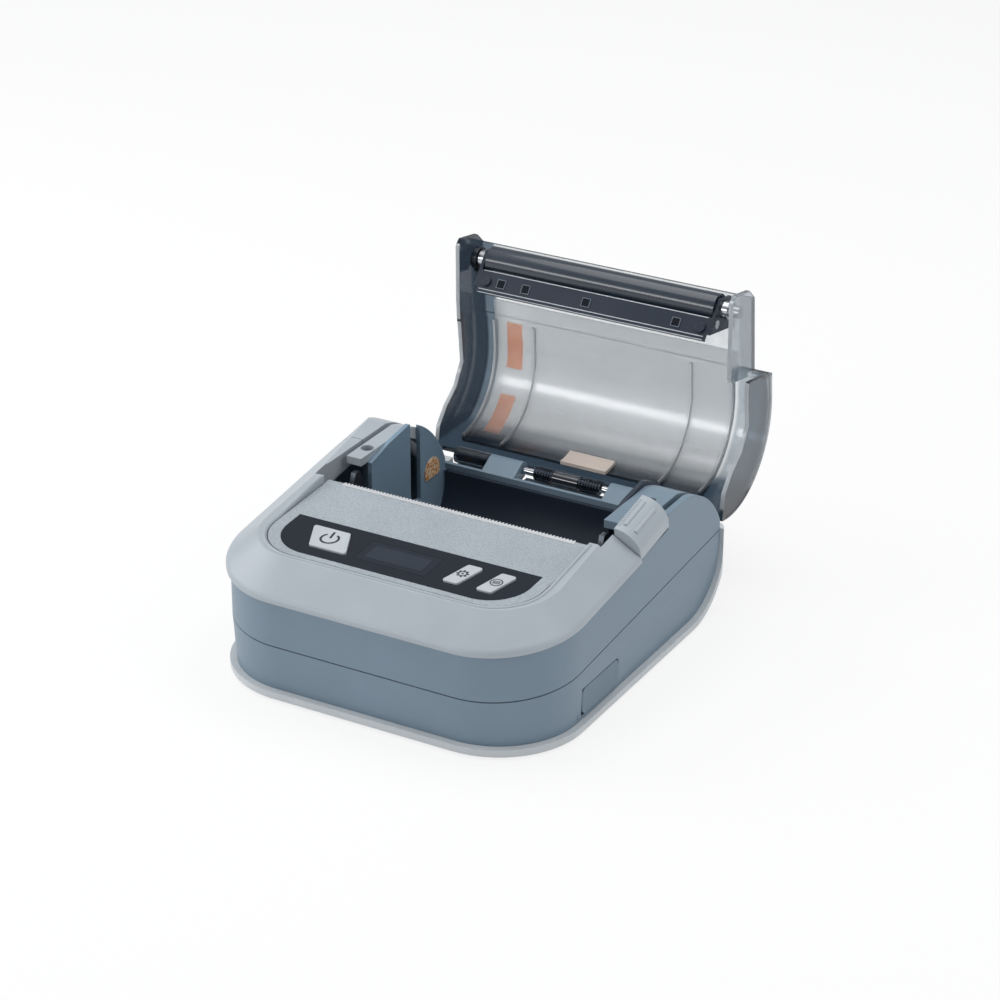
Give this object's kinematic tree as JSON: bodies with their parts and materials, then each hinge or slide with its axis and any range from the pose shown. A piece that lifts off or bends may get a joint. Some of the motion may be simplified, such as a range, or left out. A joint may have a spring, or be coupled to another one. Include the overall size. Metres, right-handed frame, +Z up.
{
  "type": "portable thermal receipt printer",
  "caption": "Battery-powered thermal receipt printer with its clear paper lid swung open on a rear hinge, platen roller in the lid and keys beside a small display.",
  "frame": {"origin": "on the table under the middle of the body, inside the outline of the flat underside", "axes": "+X to the right as the user faces the keys, +Y to the rear where the hinge is, +Z up"},
  "size_m": [0.1188, 0.1608, 0.096],
  "materials": {
    "pale_shell": "fine satin moulding",
    "slate_shell": "fine satin moulding",
    "pale_base": "fine satin moulding",
    "panel_grain": "spark-eroded grain",
    "foot_rubber": "matt",
    "screw_steel": "bright plated",
    "black_window": "high gloss",
    "display_glass": "gloss, unlit",
    "button_power": "satin, pale",
    "button_small": "satin, pale",
    "board_green": "solder mask",
    "tear_steel": "ground",
    "bay_slate": "satin moulding",
    "label_pale": "paper label",
    "frame_steel": "pressed sheet",
    "head_ceramic": "glazed",
    "sink_aluminium": "mill finish",
    "spring_steel": "dark wire",
    "motor_black": "satin",
    "gear_black": "moulded acetal",
    "gear_white": "moulded acetal",
    "pin_steel": "bright turned",
    "cell_wrap": "shrink sleeve",
    "flap_rubber": "matt",
    "lid_smoke": "tinted clear moulding",
    "liner_clear": "frosted clear moulding",
    "stripe_orange": "printed",
    "pad_pale": "soft foam",
    "platen_black": "ground roller",
    "bush_metal": "turned",
    "bracket_black": "satin moulding",
    "sensor_dark": "clear epoxy"
  },
  "bodies": {
    "base": {"bottom_cover": "pale_base", "rubber_feet": "foot_rubber", "case_screws": "screw_steel", "lower_shell": "slate_shell", "upper_shell": "slate_shell", "top_bezel": "pale_shell", "ear_cap": "pale_shell", "top_panel": "panel_grain", "display_window": "black_window", "display_module": "display_glass", "main_board": "board_green", "tear_bar": "tear_steel", "paper_bay": "bay_slate", "bay_sticker": "label_pale", "left_ledge": "pale_shell", "right_ledge": "slate_shell", "mechanism_frame": "frame_steel", "thermal_head": "head_ceramic", "head_heatsink": "sink_aluminium", "head_springs": "spring_steel", "stepper_motor": "motor_black", "idler_axle": "pin_steel", "battery_pack": "cell_wrap", "port_board": "board_green", "usb_port": "tear_steel", "lever_pin": "pin_steel", "hinge_pin": "pin_steel", "torsion_springs": "spring_steel"},
    "lid": {"lid_shell": "lid_smoke", "lid_liner": "liner_clear", "lid_stripe": "stripe_orange", "roll_pad": "pad_pale", "platen_bushes": "bush_metal", "platen_bracket": "bracket_black", "sensor_windows": "sensor_dark", "bracket_screws": "screw_steel"},
    "platen": {"platen_shaft": "pin_steel", "platen_rubber": "platen_black", "platen_gear": "gear_black"},
    "idler": {"idler_gear": "gear_black"},
    "pinion": {"motor_pinion": "gear_white"},
    "power_key": {"power_button": "button_power"},
    "settings_key": {"settings_button": "button_small"},
    "feed_key": {"feed_button": "button_small"},
    "lever": {"release_lever": "pale_shell"},
    "flap": {"port_flap": "flap_rubber"}
  },
  "joints": [
    {"name": "lid_hinge", "type": "hinge", "parent": "base", "child": "lid", "pos_m": [0, 0.065, 0.028], "axis": [1, 0, 0], "range_deg": [0, 100], "stiffness_Nm_per_rad": 0.006, "springref_deg": -11.46},
    {"name": "platen_spin", "type": "hinge", "parent": "lid", "child": "platen", "pos_m": [0, 0.08864, 0.0878], "axis": [1, 0, 0], "continuous": true},
    {"name": "idler_spin", "type": "hinge", "parent": "base", "child": "idler", "pos_m": [-0.0462, -0.00349, 0.02912], "axis": [1, 0, 0], "continuous": true},
    {"name": "pinion_spin", "type": "hinge", "parent": "base", "child": "pinion", "pos_m": [-0.0462, -0.00987, 0.02065], "axis": [1, 0, 0], "continuous": true},
    {"name": "power_press", "type": "slide", "parent": "base", "child": "power_key", "axis": [0, 0.0532, -0.9986], "range_m": [0, 0.0004], "stiffness_N_per_m": 500, "springref_m": -0.0004},
    {"name": "settings_press", "type": "slide", "parent": "base", "child": "settings_key", "axis": [0, 0.0532, -0.9986], "range_m": [0, 0.0004], "stiffness_N_per_m": 500, "springref_m": -0.0004},
    {"name": "feed_press", "type": "slide", "parent": "base", "child": "feed_key", "axis": [0, 0.0532, -0.9986], "range_m": [0, 0.0004], "stiffness_N_per_m": 500, "springref_m": -0.0004},
    {"name": "lever_rock", "type": "hinge", "parent": "base", "child": "lever", "pos_m": [0.0527, 0.00268, 0.04317], "axis": [0, 0.9816, 0.1908], "range_deg": [0, 8], "stiffness_Nm_per_rad": 0.02, "springref_deg": -2.86},
    {"name": "flap_swing", "type": "hinge", "parent": "base", "child": "flap", "pos_m": [0.05705, -0.03, 0.0096], "axis": [0, 0, -1], "range_deg": [0, 90]}
  ],
  "couplings": [
    {"joint": "pinion_spin", "follows": "idler_spin", "ratio": -2.5}
  ]
}
